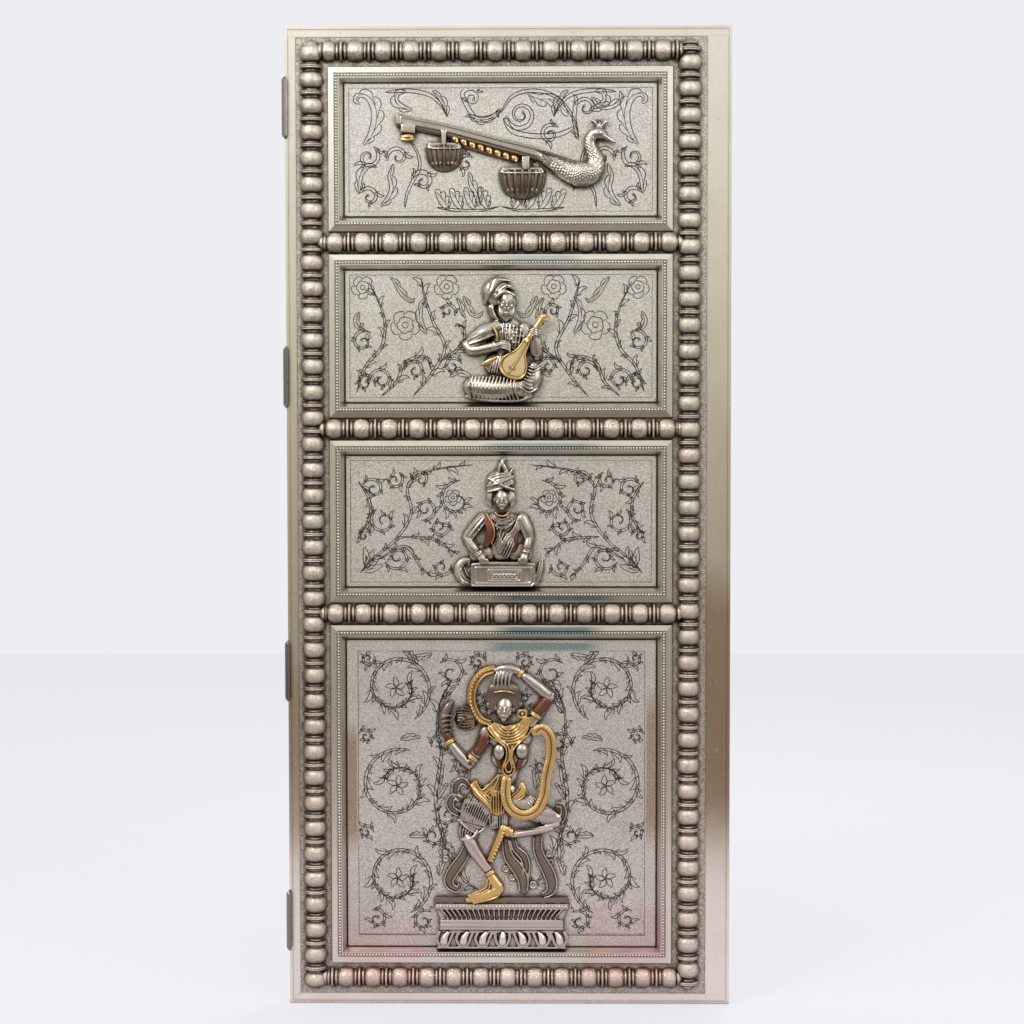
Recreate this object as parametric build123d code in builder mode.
from build123d import *

import os
from math import atan2, cos, degrees, radians, sin

# A carved temple door: one leaf of framed and panelled timber, dressed on its
# front in pressed white metal, with turned half-round bead mouldings, mitred
# panel mouldings, four relief panels and four butt hinges on its left edge.
#
# The frame: +X runs from the hinge edge to the lock edge, +Z is up and the
# dressed front looks along -Y. The origin is on the lowest hinge, where its
# frame plate lies on the door post, midway between its two outer screw holes.
os.makedirs("parts", exist_ok=True)

# Timber leaf
leaf_width = 920.0
leaf_height = 2032.0
timber_thickness = 38.0
hinge_stile_width = 112.0
lock_stile_width = 144.0
top_rail_height = 106.0
middle_rail_height = 93.0
bottom_rail_height = 110.0
dancer_opening_height = 664.0
music_panel_count = 3

# Boards in their grooves and the rails' tenons
panel_recess = 10.0
board_thickness = 12.0
groove_depth = 10.0
groove_clearance = 0.25
board_end_gap = 0.8
tenon_length = 60.0
tenon_shoulder = 15.0

# Metal dressing
sheet_thickness = 1.0
border_width = 22.0
lock_border_width = 50.0
border_return = 20.0
lip_width = 5.5
lip_height = 1.2
sheet_clearance = 0.2
margin_gap = 2.0
music_margin_width = 8.0
dancer_margin_width = 22.0
margin_height = 1.5

# Mitred panel moulding, across from its outer edge to its sight edge
frame_width = 32.0
frame_leg = 8.0
frame_band_width = 12.5
frame_band_height = 7.0
frame_edge_height = 5.5
frame_bevel = 1.5
pearl_ledge_width = 9.0
pearl_ledge_height = 5.5

# Turned half-round mouldings: a bead, a groove, a ring, a groove, over and over
upright_bead_offset = 57.5
rail_bead_offset = 54.5
upright_bead_radius = 24.0
upright_ring_radius = 23.0
upright_groove_radius = 15.5
hinge_upright_pitch = 53.5
lock_upright_pitch = 53.8
rail_bead_radius = 21.5
rail_ring_radius = 22.0
rail_groove_radius = 15.0
rail_pitch = 57.5
bottom_rail_pitch = 56.5
groove_reach = 5.0
shoulder_reach = 15.0
crown_share = 0.55
bead_end_overrun = 24.0
bead_meeting_gap = 0.3
hinge_upright_first_ring = 45.0
lock_upright_first_ring = 14.5
top_rail_first_ring = 38.0
upper_rail_first_ring = 52.0
centre_rail_first_ring = 48.0
lower_rail_first_ring = 50.0
bottom_rail_first_ring = 11.0

# Relief castings, raised from the panel sheets
relief_draft = 18.0
limb_tip_share = 0.35
limb_slope_share = 0.28
oval_sides = 8
veena_neck_relief = 12.0
veena_body_relief = 16.0
player_body_relief = 13.0
player_limb_relief = 16.0
player_head_relief = 18.0
instrument_relief = 20.0
dancer_body_relief = 15.0
dancer_limb_relief = 13.0
dancer_head_relief = 19.0
slab_relief = 12.0
plinth_relief = 17.0
petal_relief = 8.0
petal_count = 9
plinth_half_width = 126.0
slab_half_width = 138.0
slab_foot = 87.0
plinth_overlap = 6.0
slab_head = 107.0
band_head = 62.0
band_foot = 40.0
pedestal_foot = 0.5
petal_head = 37.0
petal_shoulder = 8.0
petal_tip = -6.0

# Butt hinges
hinge_length = 114.0
hinge_plate_width = 38.0
hinge_plate_thickness = 3.0
hinge_plate_gap = 1.5
knuckle_count = 5
knuckle_gap = 0.4
knuckle_wall = 3.0
pin_radius = 2.5
pin_clearance = 0.05
barrel_clearance = 0.5
plate_clearance = 0.2
finial_height = 6.5
finial_tip_radius = 1.0
barrel_sides = 10
screw_hole_radius = 2.6
screw_head_radius = 4.8
countersink_depth = 1.8
countersink_sides = 8
outer_screw_spacing = 84.0
inner_screw_spacing = 32.0
screw_line_depth = 19.0
screw_stagger = 9.0
bottom_hinge_height = 176.0
lower_hinge_height = 701.0
upper_hinge_drop = 720.0
top_hinge_drop = 166.0

# What follows from the sizes above
timber_opening_width = leaf_width - hinge_stile_width - lock_stile_width
opening_centre = hinge_stile_width + timber_opening_width / 2
music_rails_height = music_panel_count * middle_rail_height
end_rails_height = bottom_rail_height + top_rail_height
openings_height = leaf_height - end_rails_height - music_rails_height
music_opening_height = (openings_height - dancer_opening_height) / music_panel_count
knuckle_radius = pin_radius + knuckle_wall
barrel_stand_off = 2 * sheet_thickness + barrel_clearance + knuckle_radius
hinge_edge = hinge_plate_thickness + hinge_plate_gap
axis_x = hinge_edge - hinge_plate_gap / 2
axis_y = -screw_line_depth
face_y = axis_y + barrel_stand_off
board_front = -panel_recess
board_back = board_front - board_thickness
relief_base = board_front + sheet_thickness

# Sketches on this plane read across from the hinge edge and up from the foot
# of the leaf, and its normal points out of the dressed front.
face = Plane(
    origin=(hinge_edge, face_y, -bottom_hinge_height),
    x_dir=(1, 0, 0),
    z_dir=(0, -1, 0),
)


def slab(left, right, foot, head, back, front):
    """A straight board between two edges, two heights and two depths."""
    with BuildPart() as board:
        with BuildSketch(face.offset(back)):
            with Locations(((left + right) / 2, (foot + head) / 2)):
                Rectangle(right - left, head - foot)
        extrude(amount=front - back)
    return board.part


def flat_faced(piece):
    """The same solid, rebuilt from its outlines so that every face is truly flat."""
    sides = [Face(side.outer_wire()) for side in piece.faces()]
    return Solid(Shell(sides))


def save(piece, name):
    """Label a finished piece and write it as its own file."""
    piece.label = name
    export_step(piece, f"parts/{name}.step")


# Rails and openings, from the foot of the leaf up
rail_names = ["bottom_rail", "lower_rail", "centre_rail", "upper_rail", "top_rail"]
panel_names = ["dancer", "harmonium", "lute", "veena"]
rail_heights = [bottom_rail_height] + [middle_rail_height] * music_panel_count + [top_rail_height]
opening_heights = [dancer_opening_height] + [music_opening_height] * music_panel_count

rail_feet = [0.0]
opening_feet = []
for rail_height, opening_height in zip(rail_heights, opening_heights):
    opening_feet.append(rail_feet[-1] + rail_height)
    rail_feet.append(opening_feet[-1] + opening_height)

upper_hinge_height = leaf_height - upper_hinge_drop
top_hinge_height = leaf_height - top_hinge_drop
hinge_heights = [bottom_hinge_height, lower_hinge_height, upper_hinge_height, top_hinge_height]


# Stiles, grooved for the boards and mortised for the rails' tenons
def hinge_recess(height):
    """The cut in the leaf's edge that one hinge plate is let into."""
    half = hinge_length / 2 + plate_clearance
    deep = hinge_plate_width - barrel_stand_off + plate_clearance
    return slab(0, hinge_plate_thickness, height - half, height + half, -deep, barrel_stand_off)


def stile(outer, inner, inward):
    """One upright of the leaf; inward is 1 where its groove faces the lock edge."""
    left, right = sorted((outer, inner))
    groove_floor = inner - inward * groove_depth
    mortise_floor = inner - inward * (tenon_length + board_end_gap)
    groove_left, groove_right = sorted((inner, groove_floor))
    mortise_left, mortise_right = sorted((inner, mortise_floor))
    groove_back = board_back - groove_clearance
    groove_front = board_front + groove_clearance
    foot = sheet_thickness
    head = leaf_height - sheet_thickness
    with BuildPart() as upright:
        add(slab(left, right, foot, head, -timber_thickness, 0))
        add(slab(groove_left, groove_right, foot, head, groove_back, groove_front), mode=Mode.SUBTRACT)
        for rail_foot, rail_height in zip(rail_feet, rail_heights):
            low = rail_foot + tenon_shoulder - groove_clearance
            high = rail_foot + rail_height - tenon_shoulder + groove_clearance
            add(slab(mortise_left, mortise_right, low, high, groove_back, groove_front), mode=Mode.SUBTRACT)
    return upright.part


with BuildPart() as hinge_stile:
    add(stile(sheet_thickness, hinge_stile_width, 1))
    for height in hinge_heights:
        add(hinge_recess(height), mode=Mode.SUBTRACT)
save(hinge_stile.part, "hinge_stile")

with BuildPart() as lock_stile:
    add(stile(leaf_width - sheet_thickness, leaf_width - lock_stile_width, -1))
save(lock_stile.part, "lock_stile")


# Rails, with a haunch that fills the stile's groove and a longer tenon
def rail(foot, head, grooved_below, grooved_above):
    """One rail between the stiles, grooved where a board meets it."""
    left = hinge_stile_width
    right = left + timber_opening_width
    haunch = groove_depth - board_end_gap
    haunch_foot = foot + (groove_depth if grooved_below else sheet_thickness)
    haunch_head = head - (groove_depth if grooved_above else sheet_thickness)
    low = foot + (0 if grooved_below else sheet_thickness)
    high = head - (0 if grooved_above else sheet_thickness)
    groove_back = board_back - groove_clearance
    groove_front = board_front + groove_clearance
    with BuildPart() as board:
        add(slab(left, right, low, high, -timber_thickness, 0))
        add(slab(left - haunch, right + haunch, haunch_foot, haunch_head, board_back, board_front))
        add(
            slab(
                left - tenon_length,
                right + tenon_length,
                foot + tenon_shoulder,
                head - tenon_shoulder,
                board_back,
                board_front,
            )
        )
        if grooved_below:
            groove = slab(left, right, foot, foot + groove_depth, groove_back, groove_front)
            add(groove, mode=Mode.SUBTRACT)
        if grooved_above:
            groove = slab(left, right, head - groove_depth, head, groove_back, groove_front)
            add(groove, mode=Mode.SUBTRACT)
    return board.part


for index, name in enumerate(rail_names):
    rail_foot = rail_feet[index]
    rail_head = rail_foot + rail_heights[index]
    save(rail(rail_foot, rail_head, index > 0, index < len(rail_names) - 1), name)


# Boards that float in the grooves, each with its pressed panel sheet
def panel_board(foot, height):
    """A plain board, short of the groove's floor on each side."""
    reach = groove_depth - board_end_gap
    left = hinge_stile_width - reach
    right = left + timber_opening_width + 2 * reach
    return slab(left, right, foot - reach, foot + height + reach, board_back, board_front)


def panel_sheet(foot, height, margin_width):
    """The pressed sheet that fills an opening, with a raised margin round its field."""
    edge = sheet_clearance
    left = hinge_stile_width + edge
    right = left + timber_opening_width - 2 * edge
    low = foot + edge
    high = foot + height - edge
    outer = frame_leg + margin_gap - edge
    inner = outer + margin_width
    with BuildPart() as sheet:
        add(slab(left, right, low, high, board_front, relief_base))
        with BuildSketch(face.offset(relief_base)):
            with Locations(((left + right) / 2, (low + high) / 2)):
                Rectangle(right - left - 2 * outer, high - low - 2 * outer)
                Rectangle(right - left - 2 * inner, high - low - 2 * inner, mode=Mode.SUBTRACT)
        extrude(amount=margin_height)
    return sheet.part


for name, foot, height in zip(panel_names, opening_feet, opening_heights):
    margin = dancer_margin_width if name == "dancer" else music_margin_width
    save(panel_board(foot, height), f"{name}_panel_board")
    save(panel_sheet(foot, height, margin), f"{name}_panel_sheet")


# Ground sheets, one on each stile and rail
with BuildPart() as hinge_stile_sheet:
    head = leaf_height - sheet_thickness
    add(slab(sheet_thickness, hinge_stile_width, sheet_thickness, head, 0, sheet_thickness))
    for height in hinge_heights:
        add(hinge_recess(height), mode=Mode.SUBTRACT)
save(hinge_stile_sheet.part, "hinge_stile_sheet")

lock_sheet_left = leaf_width - lock_stile_width
lock_stile_sheet = slab(
    lock_sheet_left,
    leaf_width - sheet_thickness,
    sheet_thickness,
    leaf_height - sheet_thickness,
    0,
    sheet_thickness,
)
save(lock_stile_sheet, "lock_stile_sheet")

for name, foot, height in zip(rail_names, rail_feet, rail_heights):
    low = max(foot, sheet_thickness)
    high = min(foot + height, leaf_height - sheet_thickness)
    rail_sheet = slab(hinge_stile_width, lock_sheet_left, low, high, 0, sheet_thickness)
    save(rail_sheet, f"{name}_sheet")


# Border strips: a flange on the ground sheets, a raised lip along the leaf's
# edge and a return that wraps the edge, mitred where two strips meet
def rectangle_corners(inset_left, inset_foot, inset_right, inset_head):
    """The corners of the leaf's outline drawn in by four insets."""
    right = leaf_width - inset_right
    head = leaf_height - inset_head
    return [(inset_left, inset_foot), (right, inset_foot), (right, head), (inset_left, head)]


outer_corners = rectangle_corners(0, 0, 0, 0)
lip_corners = rectangle_corners(lip_width, lip_width, lip_width, lip_width)
flange_corners = rectangle_corners(border_width, border_width, lock_border_width, border_width)


def mitred_side(inner_corners, side):
    """The outline of one strip, from the leaf's outline in to its inner edge."""
    following = (side + 1) % 4
    return [outer_corners[side], outer_corners[following], inner_corners[following], inner_corners[side]]


def border_strip(side, edge_return):
    """One border strip with its flange, lip and the return along the edge."""
    with BuildPart() as strip:
        with BuildSketch(face.offset(sheet_thickness)):
            with BuildLine():
                Polyline(*mitred_side(flange_corners, side), close=True)
            make_face()
        extrude(amount=sheet_thickness)
        with BuildSketch(face.offset(2 * sheet_thickness)):
            with BuildLine():
                Polyline(*mitred_side(lip_corners, side), close=True)
            make_face()
        extrude(amount=lip_height)
        add(edge_return)
    return strip.part


timber_lock_edge = leaf_width - sheet_thickness
timber_head = leaf_height - sheet_thickness
foot_return = slab(sheet_thickness, timber_lock_edge, 0, sheet_thickness, -border_return, sheet_thickness)
lock_return = slab(timber_lock_edge, leaf_width, 0, leaf_height, -border_return, sheet_thickness)
head_return = slab(
    sheet_thickness,
    timber_lock_edge,
    timber_head,
    leaf_height,
    -border_return,
    sheet_thickness,
)
hinge_return = slab(0, sheet_thickness, 0, leaf_height, -border_return, sheet_thickness)

save(border_strip(0, foot_return), "bottom_border")
save(border_strip(1, lock_return), "lock_border")
save(border_strip(2, head_return), "top_border")

# The hinge side's strip is cut for each plate, and its lip for each barrel
lip_gap_reach = hinge_length / 2 + finial_height + barrel_clearance
with BuildPart() as hinge_border:
    add(border_strip(3, hinge_return))
    for height in hinge_heights:
        add(hinge_recess(height), mode=Mode.SUBTRACT)
        lip_gap = slab(
            0,
            lip_width,
            height - lip_gap_reach,
            height + lip_gap_reach,
            2 * sheet_thickness,
            2 * sheet_thickness + lip_height,
        )
        add(lip_gap, mode=Mode.SUBTRACT)
save(hinge_border.part, "hinge_border")


# Panel mouldings, four mitred lengths to each opening
def frame_strip(length):
    """One length of panel moulding along X, its outer edge on Y = 0 and its foot on Z = 0."""
    sight = frame_width
    leg_back = frame_width - frame_leg + sheet_clearance
    ledge_start = frame_band_width + frame_bevel
    ledge_end = ledge_start + pearl_ledge_width
    leg_foot = relief_base - sheet_thickness
    with BuildPart() as strip:
        with BuildSketch(Plane.YZ):
            with BuildLine():
                Polyline(
                    (0, 0),
                    (frame_bevel, frame_edge_height),
                    (frame_band_width, frame_band_height),
                    (ledge_start, pearl_ledge_height),
                    (ledge_end, pearl_ledge_height),
                    (sight, leg_foot),
                    (leg_back, leg_foot),
                    (leg_back, 0),
                    close=True,
                )
            make_face()
        extrude(amount=length / 2, both=True)
        split(bisect_by=Plane(origin=(length / 2, 0, 0), z_dir=(1, 1, 0)), keep=Keep.BOTTOM)
        split(bisect_by=Plane(origin=(-length / 2, 0, 0), z_dir=(-1, 1, 0)), keep=Keep.BOTTOM)
    return strip.part


def panel_frame(foot, height):
    """The four mitred lengths round one opening, as separate lengths."""
    reach = frame_width - frame_leg
    outer_width = timber_opening_width + 2 * reach
    outer_height = height + 2 * reach
    middle_point = face.from_local_coords((opening_centre, foot + height / 2, sheet_thickness))
    middle = Plane(middle_point, x_dir=(1, 0, 0), z_dir=(0, -1, 0))
    lengths = []
    for turn in range(4):
        length = outer_width if turn % 2 == 0 else outer_height
        half_span = outer_height / 2 if turn % 2 == 0 else outer_width / 2
        place = middle.location * Rotation(0, 0, 90 * turn) * Pos(0, -half_span, 0)
        lengths.append(frame_strip(length).moved(place))
    return Compound(children=lengths)


for name, foot, height in zip(panel_names, opening_feet, opening_heights):
    save(panel_frame(foot, height), f"{name}_panel_frame")


# Bead mouldings, half round, seated on the ground sheets
def bead_run(length, first_ring, pitch, bead_radius, ring_radius, groove_radius):
    """A bead moulding along X, its flat back on Z = 0; first_ring is its first ring's distance."""
    knots = [
        (0, ring_radius),
        (groove_reach, groove_radius),
        (shoulder_reach, bead_radius),
        (pitch / 2, bead_radius),
    ]

    def radius_at(distance):
        """The moulding's radius at a distance along it, by how far the nearest ring is."""
        off = abs((distance - first_ring + pitch / 2) % pitch - pitch / 2)
        for (near, near_radius), (far, far_radius) in zip(knots, knots[1:]):
            if off <= far:
                return near_radius + (far_radius - near_radius) * (off - near) / (far - near)
        return bead_radius

    stations = [0.0, length]
    ring_count = int((length - first_ring) / pitch) + 3
    for ring in range(-1, ring_count):
        for reach in (-shoulder_reach, -groove_reach, 0, groove_reach, shoulder_reach):
            station = first_ring + ring * pitch + reach
            if 0.5 < station < length - 0.5:
                stations.append(station)

    with BuildPart() as run:
        for station in sorted(stations):
            radius = radius_at(station)
            with BuildSketch(Plane.YZ.offset(station)):
                with BuildLine():
                    Polyline(
                        (-radius, 0),
                        (-crown_share * radius, radius),
                        (crown_share * radius, radius),
                        (radius, 0),
                        close=True,
                    )
                make_face()
        loft(ruled=True)
    return flat_faced(run.part)


bead_seat = face.offset(sheet_thickness)
hinge_upright_x = hinge_stile_width - upright_bead_offset
lock_upright_x = hinge_stile_width + timber_opening_width + upright_bead_offset
foot_bead_z = bottom_rail_height - rail_bead_offset
head_bead_z = leaf_height - top_rail_height + rail_bead_offset
upright_start = foot_bead_z - bead_end_overrun
upright_length = head_bead_z - foot_bead_z + 2 * bead_end_overrun

for name, bead_x, first_ring, pitch in (
    ("hinge_upright_beads", hinge_upright_x, hinge_upright_first_ring, hinge_upright_pitch),
    ("lock_upright_beads", lock_upright_x, lock_upright_first_ring, lock_upright_pitch),
):
    upright = bead_run(
        upright_length,
        first_ring,
        pitch,
        upright_bead_radius,
        upright_ring_radius,
        upright_groove_radius,
    )
    start_point = bead_seat.from_local_coords((bead_x, upright_start, 0))
    place = Plane(start_point, x_dir=(0, 0, 1), z_dir=(0, -1, 0))
    save(upright.moved(place.location), name)

widest_upright = max(upright_bead_radius, upright_ring_radius)
rail_run_start = hinge_upright_x + widest_upright + bead_meeting_gap
rail_run_length = lock_upright_x - widest_upright - bead_meeting_gap - rail_run_start
middle_rail_lines = [foot + middle_rail_height / 2 for foot in rail_feet[1:-1]]
rail_bead_lines = [foot_bead_z] + middle_rail_lines + [head_bead_z]
first_rings = [
    bottom_rail_first_ring,
    lower_rail_first_ring,
    centre_rail_first_ring,
    upper_rail_first_ring,
    top_rail_first_ring,
]
pitches = [bottom_rail_pitch] + [rail_pitch] * (music_panel_count + 1)
for name, bead_z, first_ring, pitch in zip(rail_names, rail_bead_lines, first_rings, pitches):
    run = bead_run(
        rail_run_length,
        first_ring,
        pitch,
        rail_bead_radius,
        rail_ring_radius,
        rail_groove_radius,
    )
    start_point = bead_seat.from_local_coords((rail_run_start, bead_z, 0))
    place = Plane(start_point, x_dir=(1, 0, 0), z_dir=(0, -1, 0))
    save(run.moved(place.location), f"{name}_beads")


# Relief castings. Their points read across from the middle of the opening and
# up from the foot of its sight edge, and its reliefs rise from its sheet, in a
# drawing that is fitted to the opening.
music_drawing = (648, 275)
dancer_drawing = (648, 648)
sight_width = timber_opening_width - 2 * frame_leg


class PanelDrawing:
    """The drawing of one panel's casting, and the forms that rise from it."""

    def __init__(self, index, lift=0.0):
        drawn_width, drawn_height = dancer_drawing if index == 0 else music_drawing
        sight_height = opening_heights[index] - 2 * frame_leg
        foot = opening_feet[index] + frame_leg
        origin = face.from_local_coords((opening_centre, foot, relief_base + lift))
        self.index = index
        self.unit = min(sight_width / drawn_width, sight_height / drawn_height)
        self.plane = Plane(origin, x_dir=(1, 0, 0), z_dir=(0, -1, 0))

    def lifted(self, lift):
        """The same drawing, nearer to the front."""
        return PanelDrawing(self.index, lift)

    def form(self, outline, relief, draft=relief_draft):
        """A closed outline raised from the panel with sloping sides."""
        with BuildPart() as raised:
            with BuildSketch(self.plane):
                with BuildLine():
                    Polyline(*[(x * self.unit, z * self.unit) for x, z in outline], close=True)
                make_face()
            extrude(amount=relief * self.unit, taper=draft)
        return flat_faced(raised.part)

    def limb(self, start, end, start_width, end_width, relief):
        """A tapering limb between two joints, with a blunt point past each of them."""
        near = Vector(*start)
        far = Vector(*end)
        along = (far - near).normalized()
        across = Vector(-along.Y, along.X)
        corners = [
            near + across * (start_width / 2),
            near - along * (start_width * limb_tip_share),
            near - across * (start_width / 2),
            far - across * (end_width / 2),
            far + along * (end_width * limb_tip_share),
            far + across * (end_width / 2),
        ]
        outline = [(corner.X, corner.Y) for corner in corners]
        steepest = degrees(atan2(limb_slope_share * min(start_width, end_width), relief))
        return self.form(outline, relief, min(relief_draft, steepest))

    def oval(self, centre, width, height, relief):
        """A raised oval with flat sides."""
        turns = [radians((side + 0.5) * 360 / oval_sides) for side in range(oval_sides)]
        outline = [(centre[0] + width / 2 * cos(turn), centre[1] + height / 2 * sin(turn)) for turn in turns]
        return self.form(outline, relief)

    def margin_step(self):
        """The room that a casting leaves for the raised margin at its panel's foot."""
        low = opening_feet[self.index] + frame_leg + margin_gap - sheet_clearance
        high = low + music_margin_width + 2 * sheet_clearance
        right = leaf_width - lock_stile_width
        return slab(hinge_stile_width, right, low, high, relief_base, relief_base + margin_height)


# The veena: a long neck from its end block, two gourds and a peacock-headed body
neck_top = (-212, 205)
neck_end = (92, 128)
block_foot = (-190, 163)
block_head = (-197, 190)
small_gourd = (-118, 122)
large_gourd = (43, 70)
breast = (140, 88)
tail_of_breast = (176, 74)
throat = (196, 122)
peacock_head = (206, 172)
beak_tip = (232, 152)
crest_tip = (199, 199)

drawing = PanelDrawing(3)
with BuildPart() as veena:
    add(drawing.limb(neck_top, neck_end, 15, 18, veena_neck_relief))
    add(drawing.limb(block_foot, block_head, 24, 24, veena_neck_relief))
    add(drawing.oval(small_gourd, 72, 60, instrument_relief))
    add(drawing.limb(small_gourd, (-119, 176), 18, 12, veena_neck_relief))
    add(drawing.oval(large_gourd, 90, 70, instrument_relief))
    add(drawing.limb(large_gourd, (44, 134), 22, 14, veena_neck_relief))
    add(drawing.limb(neck_end, breast, 34, 54, veena_body_relief))
    add(drawing.limb(breast, tail_of_breast, 54, 50, veena_body_relief))
    add(drawing.limb(tail_of_breast, throat, 48, 26, veena_body_relief))
    add(drawing.limb(throat, peacock_head, 24, 20, veena_body_relief))
    add(drawing.oval(peacock_head, 30, 26, player_head_relief))
    add(drawing.limb(peacock_head, beak_tip, 14, 5, veena_neck_relief))
    add(drawing.limb(peacock_head, crest_tip, 12, 6, veena_neck_relief))
save(veena.part, "veena")

# The lute player: seated cross-legged, turbaned and bearded
lute_head = (11, 208)
lute_turban = (-6, 228)
lute_shoulders = [(-30, 158), (-14, 81), (46, 81), (48, 158), (28, 172), (-6, 172)]
lute_lap = [(-80, 3), (76, 3), (78, 60), (40, 88), (-20, 78), (-78, 50)]
lute_bowl = (23, 79)
lute_neck = (86, 178)
plucking_elbow = (-70, 116)
fretting_elbow = (64, 102)

drawing = PanelDrawing(2)
with BuildPart() as lute_player:
    add(drawing.form(lute_lap, player_body_relief))
    add(drawing.form(lute_shoulders, player_body_relief))
    add(drawing.limb((-60, 20), (62, 22), 30, 30, player_limb_relief))
    add(drawing.oval(lute_head, 40, 56, player_head_relief))
    add(drawing.limb(lute_head, (11, 166), 30, 16, player_limb_relief))
    add(drawing.oval(lute_turban, 60, 58, player_head_relief))
    add(drawing.limb((-24, 150), plucking_elbow, 26, 20, player_limb_relief))
    add(drawing.limb(plucking_elbow, (-2, 112), 20, 14, player_limb_relief))
    add(drawing.limb((44, 150), fretting_elbow, 24, 18, player_limb_relief))
    add(drawing.limb(fretting_elbow, (67, 140), 18, 14, player_limb_relief))
    add(drawing.oval(lute_bowl, 36, 34, instrument_relief))
    add(drawing.limb(lute_bowl, lute_neck, 10, 8, instrument_relief))
    add(drawing.margin_step(), mode=Mode.SUBTRACT)
save(lute_player.part, "lute_player")

# The harmonium player: seated behind the instrument, with a plumed turban
harmonium_head = (3, 188)
harmonium_turban = (-1, 218)
harmonium_shoulders = [(-50, 152), (-50, 50), (54, 50), (48, 152), (26, 166), (-26, 166)]
harmonium_case = [(-64, 2), (64, 2), (64, 55), (-64, 55)]
keying_elbow = (-74, 110)
bellows_elbow = (60, 108)

drawing = PanelDrawing(1)
with BuildPart() as harmonium_player:
    add(drawing.form(harmonium_shoulders, player_body_relief))
    add(drawing.oval(harmonium_head, 40, 50, player_head_relief))
    add(drawing.oval(harmonium_turban, 62, 48, player_head_relief))
    add(drawing.limb((6, 236), (8, 260), 14, 8, player_body_relief))
    add(drawing.limb((-46, 146), keying_elbow, 28, 22, player_limb_relief))
    add(drawing.limb(keying_elbow, (-40, 66), 22, 14, player_limb_relief))
    add(drawing.limb((44, 146), bellows_elbow, 26, 20, player_limb_relief))
    add(drawing.limb(bellows_elbow, (46, 66), 20, 14, player_limb_relief))
    add(drawing.form(harmonium_case, instrument_relief))
    for flip in (1, -1):
        add(drawing.limb((flip * 60, 14), (flip * 84, 38), 22, 14, player_limb_relief))
    add(drawing.margin_step(), mode=Mode.SUBTRACT)
save(harmonium_player.part, "harmonium_player")

# The pedestal: a top slab, a taper, a band and a row of lotus petals that
# hang in front of the panel moulding's foot
drawing = PanelDrawing(0)
over_margin = drawing.lifted(margin_height)
over_plinth = drawing.lifted(plinth_relief * drawing.unit)
band_relief = plinth_relief - margin_height / drawing.unit
slab_outline = [
    (-slab_half_width, slab_foot),
    (slab_half_width, slab_foot),
    (slab_half_width, slab_head),
    (-slab_half_width, slab_head),
]
plinth_outline = [
    (-plinth_half_width, band_foot),
    (plinth_half_width, band_foot),
    (slab_half_width, slab_foot + plinth_overlap),
    (-slab_half_width, slab_foot + plinth_overlap),
]
band_outline = [
    (-plinth_half_width, pedestal_foot),
    (plinth_half_width, pedestal_foot),
    (plinth_half_width, band_head),
    (-plinth_half_width, band_head),
]
petal_pitch = 2 * plinth_half_width / petal_count
with BuildPart() as pedestal:
    add(drawing.form(slab_outline, slab_relief, 0))
    add(drawing.form(plinth_outline, plinth_relief))
    add(over_margin.form(band_outline, band_relief, 0))
    for petal in range(petal_count):
        middle = -plinth_half_width + (petal + 0.5) * petal_pitch
        petal_outline = [
            (middle - petal_pitch / 2, petal_head),
            (middle - petal_pitch / 2, petal_shoulder),
            (middle, petal_tip),
            (middle + petal_pitch / 2, petal_shoulder),
            (middle + petal_pitch / 2, petal_head),
        ]
        add(over_plinth.form(petal_outline, petal_relief))
save(pedestal.part, "pedestal")

# The dancer: one foot on the slab, one knee raised, a hand over her head and
# a mirror in the other
crown_hand = (28, 572)
dancer_head = (6, 504)
right_shoulder = (54, 440)
left_shoulder = (-30, 440)
right_elbow = (101, 532)
left_elbow = (-74, 382)
dancer_chest = [(-36, 446), (-30, 400), (-8, 360), (32, 360), (50, 400), (62, 446), (30, 458), (-6, 458)]
dancer_hips = [(-8, 366), (-66, 318), (-58, 276), (48, 274), (58, 318), (32, 366)]
skirt = [(-104, 256), (-66, 332), (-18, 326), (-22, 252)]
standing_knee = (-72, 242)
ankle = (-30, 160)
raised_knee = (112, 266)
raised_heel = (18, 244)
raised_toe = (-38, 176)
mirror = (-95, 482)
mirror_hand = (-114, 430)

over_slab = drawing.lifted(slab_relief * drawing.unit)
with BuildPart() as dancer:
    add(drawing.form(dancer_chest, dancer_body_relief))
    add(drawing.form(dancer_hips, dancer_body_relief))
    add(drawing.limb((-34, 302), standing_knee, 58, 42, dancer_limb_relief))
    add(drawing.limb(standing_knee, ankle, 38, 22, dancer_limb_relief))
    add(drawing.form(skirt, dancer_body_relief))
    add(over_slab.limb(ankle, (-22, 132), 22, 20, petal_relief))
    add(over_slab.limb((-16, 130), (-66, 108), 26, 16, petal_relief))
    add(drawing.limb((24, 300), raised_knee, 56, 42, dancer_body_relief))
    add(drawing.limb(raised_knee, raised_heel, 36, 26, dancer_limb_relief))
    add(drawing.limb(raised_heel, raised_toe, 26, 15, dancer_limb_relief))
    add(drawing.limb(right_shoulder, right_elbow, 26, 22, dancer_limb_relief))
    add(drawing.limb(right_elbow, crown_hand, 20, 14, dancer_limb_relief))
    add(drawing.limb(left_shoulder, left_elbow, 26, 22, dancer_limb_relief))
    add(drawing.limb(left_elbow, mirror_hand, 20, 14, dancer_limb_relief))
    add(drawing.limb(mirror_hand, mirror, 12, 10, dancer_limb_relief))
    add(drawing.oval(mirror, 54, 50, dancer_limb_relief))
    add(drawing.limb((8, 452), dancer_head, 22, 24, dancer_body_relief))
    add(drawing.oval(dancer_head, 48, 62, dancer_head_relief))
    for breast_x in (-12, 34):
        add(drawing.oval((breast_x, 408), 40, 40, dancer_head_relief))
save(dancer.part, "dancer")


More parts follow.
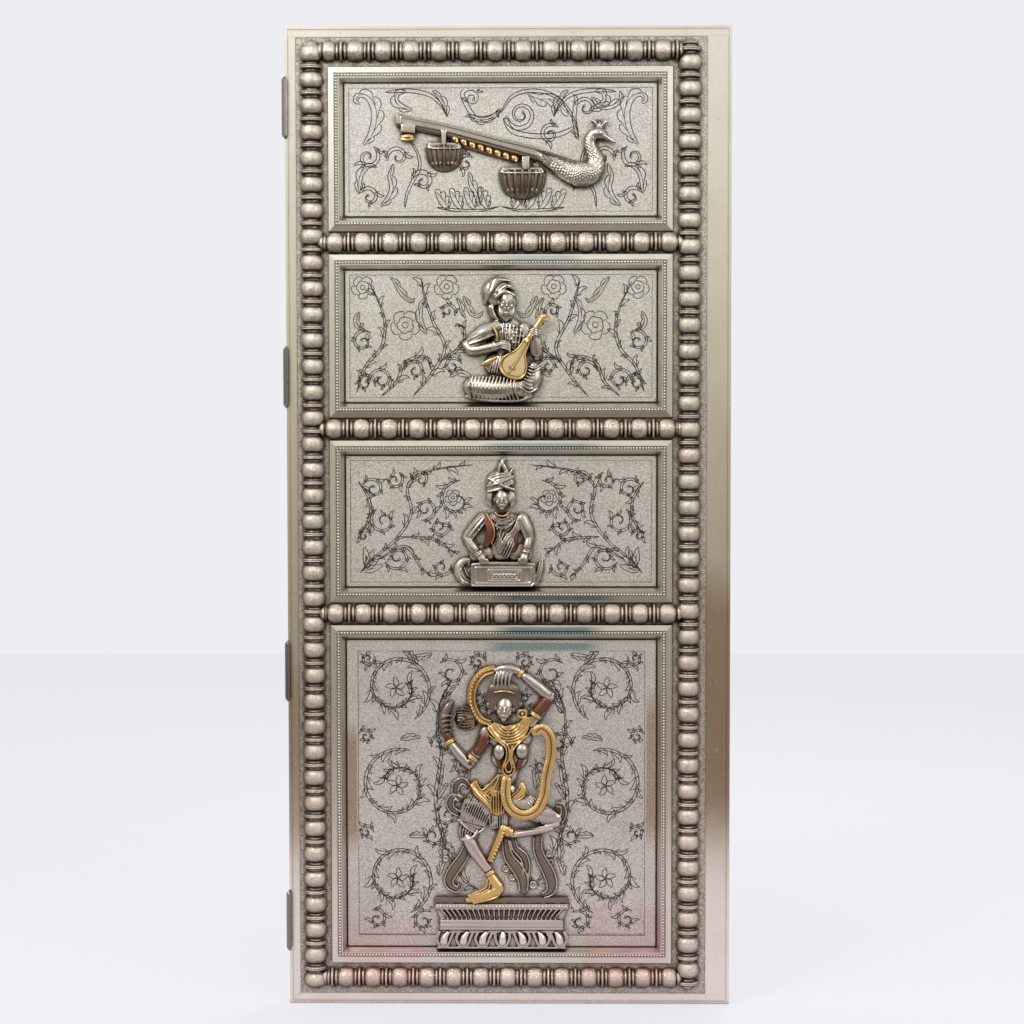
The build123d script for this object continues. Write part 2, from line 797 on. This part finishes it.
# Butt hinges. The barrel stands in front of the face; each plate takes every
# second knuckle, and the pin runs through all of them.
barrel_axis = Plane(origin=(axis_x, axis_y, 0), x_dir=(1, 0, 0), z_dir=(0, 0, 1))
knuckle_length = (hinge_length - (knuckle_count - 1) * knuckle_gap) / knuckle_count
knuckle_feet = [-hinge_length / 2 + k * (knuckle_length + knuckle_gap) for k in range(knuckle_count)]
plate_middle_y = axis_y + hinge_plate_width / 2


def hinge_plate(plate_x, first_knuckle):
    """A plate with every second knuckle of the barrel, round the origin's height."""
    with BuildPart() as plate:
        with BuildSketch(Plane.XY.offset(-hinge_length / 2)):
            with Locations((plate_x + hinge_plate_thickness / 2, plate_middle_y)):
                Rectangle(hinge_plate_thickness, hinge_plate_width)
        extrude(amount=hinge_length)
        for k, knuckle_foot in enumerate(knuckle_feet):
            own = k % 2 == first_knuckle
            if own:
                with BuildSketch(barrel_axis.offset(knuckle_foot)):
                    RegularPolygon(knuckle_radius, barrel_sides)
                extrude(amount=knuckle_length)
            else:
                with BuildSketch(barrel_axis.offset(knuckle_foot - knuckle_gap)):
                    Rectangle(4 * knuckle_radius, 2 * (knuckle_radius + barrel_clearance))
                extrude(amount=knuckle_length + 2 * knuckle_gap, mode=Mode.SUBTRACT)
        with BuildSketch(barrel_axis.offset(-hinge_length / 2)):
            RegularPolygon(pin_radius + pin_clearance, barrel_sides, major_radius=False)
        extrude(amount=hinge_length, mode=Mode.SUBTRACT)
    return plate.part


screw_places = [
    (0, -outer_screw_spacing / 2),
    (screw_stagger, -inner_screw_spacing / 2),
    (screw_stagger, inner_screw_spacing / 2),
    (0, outer_screw_spacing / 2),
]
screw_face = Plane(origin=(hinge_plate_thickness, 0, 0), x_dir=(0, 1, 0), z_dir=(1, 0, 0))
with BuildPart() as countersink:
    with BuildSketch(Plane.XY):
        RegularPolygon(screw_head_radius, countersink_sides)
    extrude(amount=-countersink_depth, taper=45)
sunk_head = flat_faced(countersink.part)

with BuildPart() as frame_plate:
    add(hinge_plate(0, 0))
    with Locations(screw_face):
        with Locations(*screw_places):
            add(sunk_head, mode=Mode.SUBTRACT)
            Hole(screw_hole_radius)

with BuildPart() as door_plate:
    add(hinge_plate(hinge_edge, 1))


def finial(end):
    """The point that closes one end of the barrel; end is 1 at the head and -1 at the foot."""
    tip_base = Plane(origin=(axis_x, axis_y, end * hinge_length / 2), x_dir=(1, 0, 0), z_dir=(0, 0, end))
    with BuildPart() as point:
        with BuildSketch(tip_base):
            RegularPolygon(knuckle_radius, barrel_sides)
        with BuildSketch(tip_base.offset(finial_height)):
            RegularPolygon(finial_tip_radius, barrel_sides)
        loft()
    return flat_faced(point.part)


with BuildPart() as hinge_pin:
    with BuildSketch(barrel_axis.offset(-hinge_length / 2)):
        RegularPolygon(pin_radius, barrel_sides)
    extrude(amount=hinge_length)
    add(finial(1))
    add(finial(-1))

for number, height in enumerate(hinge_heights, start=1):
    lift = Location((0, 0, height - bottom_hinge_height))
    save(frame_plate.part.moved(lift), f"hinge_{number}_frame_plate")
    save(door_plate.part.moved(lift), f"hinge_{number}_door_plate")
    save(hinge_pin.part.moved(lift), f"hinge_{number}_pin")
